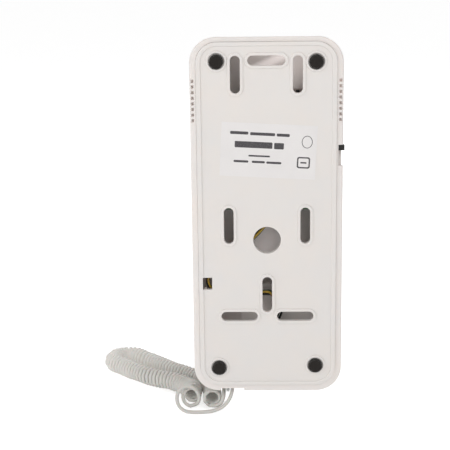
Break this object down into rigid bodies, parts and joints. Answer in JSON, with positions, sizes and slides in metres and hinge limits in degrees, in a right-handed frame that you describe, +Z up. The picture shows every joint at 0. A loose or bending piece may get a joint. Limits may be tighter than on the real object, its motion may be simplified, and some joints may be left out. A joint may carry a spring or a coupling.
{
  "type": "slimline wall phone",
  "caption": "Slim wall-mounted entry phone: rounded white base with slotted rear cover and side vents, lift-off handset on the front, keys, a level slider and a coiled modular cord.",
  "frame": {"origin": "centre of the rear cover, midway between the four rear pads, in the wall plane that the pads rest on", "axes": "+Z up, +X right as seen from the front, front faces -Y, wall is on the +Y side"},
  "size_m": [0.1438, 0.0878, 0.2093],
  "materials": {
    "shell_plastic": "fine satin moulded",
    "cover_plastic": "fine moulded",
    "pad_rubber": "matte foam rubber",
    "label_paper": "matte sticker",
    "board": "solder mask",
    "steel": "plated",
    "spring_steel": "drawn wire",
    "terminal_plastic": "moulded",
    "black_plastic": "moulded",
    "switch_metal": "stamped",
    "capacitor_sleeve": "sleeved can",
    "button_plastic": "satin moulded",
    "wire_black": "pvc",
    "wire_yellow": "pvc",
    "wire_green": "pvc",
    "wire_red": "pvc",
    "clear_plastic": "clear moulded",
    "cord_jacket": "satin pvc",
    "gasket_rubber": "soft",
    "receiver_metal": "pressed"
  },
  "bodies": {
    "base": {"rear_cover": "cover_plastic", "front_cover": "shell_plastic", "wall_pads": "pad_rubber", "rating_label": "label_paper", "main_board": "board", "board_screws": "steel", "terminal_block": "terminal_plastic", "terminal_screws": "steel", "wire_header": "cover_plastic", "volume_switch": "switch_metal", "button_switches": "black_plastic", "hook_switch": "black_plastic", "sounder": "black_plastic", "capacitors": "capacitor_sleeve", "board_chips": "black_plastic", "hook_spring": "spring_steel", "base_jack": "black_plastic", "base_plug": "clear_plastic", "wire_black": "wire_black", "wire_yellow": "wire_yellow", "wire_green": "wire_green", "wire_red": "wire_red", "coiled_cord": "cord_jacket"},
    "handset": {"handset_outer_shell": "shell_plastic", "handset_inner_shell": "shell_plastic", "handset_screw": "steel", "receiver_gasket": "gasket_rubber", "receiver_capsule": "receiver_metal", "microphone_boot": "gasket_rubber", "microphone_capsule": "receiver_metal", "ballast_weight": "steel", "handset_jack": "black_plastic", "handset_plug": "clear_plastic", "handset_wires": "wire_red"},
    "hook": {"hook_plunger": "shell_plastic"},
    "door_key": {"door_button": "button_plastic", "door_switch_stem": "black_plastic"},
    "aux_key": {"aux_button": "button_plastic", "aux_switch_stem": "black_plastic"},
    "volume": {"volume_slider": "black_plastic"}
  },
  "joints": [
    {"name": "handset_lift", "type": "slide", "parent": "base", "child": "handset", "axis": [0, -1, 0], "range_m": [0, 0.06], "deforming": ["coiled_cord"]},
    {"name": "hook_travel", "type": "slide", "parent": "base", "child": "hook", "axis": [0, -1, 0], "range_m": [0, 0.0036], "deforming": ["hook_spring"]},
    {"name": "door_press", "type": "slide", "parent": "base", "child": "door_key", "axis": [0, 1, 0], "range_m": [0, 0.001], "stiffness_N_per_m": 600},
    {"name": "aux_press", "type": "slide", "parent": "base", "child": "aux_key", "axis": [0, 1, 0], "range_m": [0, 0.001], "stiffness_N_per_m": 600},
    {"name": "volume_slide", "type": "slide", "parent": "base", "child": "volume", "axis": [0, 0, 1], "range_m": [-0.0079, 0]}
  ],
  "couplings": [
    {"joint": "hook_travel", "follows": "handset_lift", "ratio": 0.06}
  ]
}
